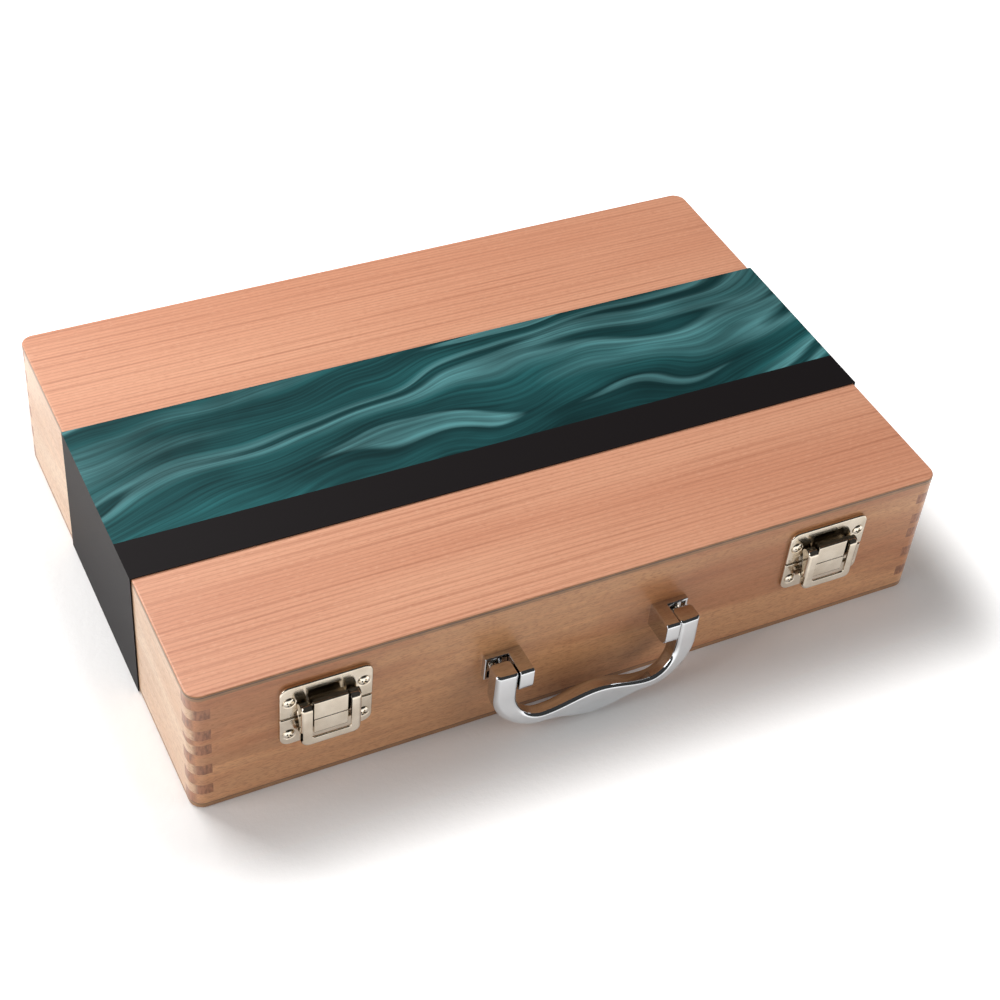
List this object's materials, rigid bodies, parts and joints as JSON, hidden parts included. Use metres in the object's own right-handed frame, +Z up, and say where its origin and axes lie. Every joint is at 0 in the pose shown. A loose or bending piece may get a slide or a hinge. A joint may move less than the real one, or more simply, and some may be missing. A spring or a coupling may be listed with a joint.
{
  "type": "wooden oil paint box",
  "caption": "Finger-jointed wooden artist's box with a hinged lid, draw latches, a swinging carrying handle, dividers, a palette and a card sleeve.",
  "frame": {"origin": "centre of the underside of the base panel, on the surface that the box lies on", "axes": "+X along the box's length, +Z up through the lid, -Y towards the latches and the handle"},
  "size_m": [0.4016, 0.297, 0.0788],
  "materials": {
    "side_wood": "satin lacquered beech with short flecks",
    "top_veneer": "satin lacquered salmon veneer with fine straight grain",
    "inner_wood": "plain sanded wood",
    "palette_wood": "oiled plywood",
    "nickel": "warm satin nickel plate",
    "screw_metal": "bright screw",
    "chrome": "polished chrome plate",
    "sleeve_card": "printed matt card"
  },
  "bodies": {
    "base": {"base_front_board": "side_wood", "base_back_board": "side_wood", "base_left_board": "side_wood", "base_right_board": "side_wood", "base_panel": "top_veneer", "divider_long": "inner_wood", "divider_cross_1": "inner_wood", "divider_cross_2": "inner_wood", "divider_cross_3": "inner_wood", "latch_left_base_plate": "nickel", "latch_left_lever_pins": "nickel", "handle_bracket_left": "chrome", "hinge_left_base_leaf": "nickel", "hinge_left_pin": "nickel", "latch_right_base_plate": "nickel", "latch_right_lever_pins": "nickel", "handle_bracket_right": "chrome", "hinge_right_base_leaf": "nickel", "hinge_right_pin": "nickel", "latch_base_screws": "screw_metal", "handle_bracket_screws": "screw_metal", "handle_pins": "chrome", "hinge_base_screws": "screw_metal"},
    "lid": {"lid_front_board": "side_wood", "lid_back_board": "side_wood", "lid_left_board": "side_wood", "lid_right_board": "side_wood", "lid_panel": "top_veneer", "palette": "palette_wood", "palette_batten": "inner_wood", "button_block_left": "inner_wood", "button_screw_left": "screw_metal", "latch_left_strike": "nickel", "hinge_left_lid_leaf": "nickel", "button_block_right": "inner_wood", "button_screw_right": "screw_metal", "latch_right_strike": "nickel", "hinge_right_lid_leaf": "nickel", "strike_screws": "screw_metal", "hinge_lid_screws": "screw_metal"},
    "turn_button_left": {"turn_button_left": "inner_wood"},
    "latch_left_lever": {"latch_left_lever": "nickel", "latch_left_draw_pin": "nickel"},
    "latch_left_draw_plate": {"latch_left_draw_plate": "nickel"},
    "turn_button_right": {"turn_button_right": "inner_wood"},
    "latch_right_lever": {"latch_right_lever": "nickel", "latch_right_draw_pin": "nickel"},
    "latch_right_draw_plate": {"latch_right_draw_plate": "nickel"},
    "handle_bail": {"handle_bail": "chrome"},
    "sleeve": {"sleeve": "sleeve_card"}
  },
  "joints": [
    {"name": "lid_hinge", "type": "hinge", "parent": "base", "child": "lid", "pos_m": [0, 0.1368, 0.0475], "axis": [-1, 0, 0], "range_deg": [0, 105]},
    {"name": "handle_swing", "type": "hinge", "parent": "base", "child": "handle_bail", "pos_m": [0, -0.1453, 0.0404], "axis": [-1, 0, 0], "range_deg": [0, 175]},
    {"name": "sleeve_lift", "type": "slide", "parent": "lid", "child": "sleeve", "axis": [0, 0, 1], "range_m": [0, 0.085]},
    {"name": "latch_left_lever_turn", "type": "hinge", "parent": "base", "child": "latch_left_lever", "pos_m": [-0.1355, -0.1392, 0.0558], "axis": [-1, 0, 0], "range_deg": [0, 110]},
    {"name": "latch_left_draw_turn", "type": "hinge", "parent": "latch_left_lever", "child": "latch_left_draw_plate", "pos_m": [-0.1355, -0.1382, 0.0407], "axis": [-1, 0, 0], "range_deg": [-55, 0]},
    {"name": "latch_right_lever_turn", "type": "hinge", "parent": "base", "child": "latch_right_lever", "pos_m": [0.1355, -0.1392, 0.0558], "axis": [-1, 0, 0], "range_deg": [0, 110]},
    {"name": "latch_right_draw_turn", "type": "hinge", "parent": "latch_right_lever", "child": "latch_right_draw_plate", "pos_m": [0.1355, -0.1382, 0.0407], "axis": [-1, 0, 0], "range_deg": [-55, 0]},
    {"name": "turn_button_left_turn", "type": "hinge", "parent": "lid", "child": "turn_button_left", "pos_m": [-0.11, -0.11865, 0.0683], "axis": [0, 0, 1], "range_deg": [0, 90]},
    {"name": "turn_button_right_turn", "type": "hinge", "parent": "lid", "child": "turn_button_right", "pos_m": [0.11, -0.11865, 0.0683], "axis": [0, 0, -1], "range_deg": [0, 90]}
  ],
  "couplings": [
    {"joint": "latch_left_draw_turn", "follows": "latch_left_lever_turn", "ratio": -0.5},
    {"joint": "latch_right_draw_turn", "follows": "latch_right_lever_turn", "ratio": -0.5}
  ]
}
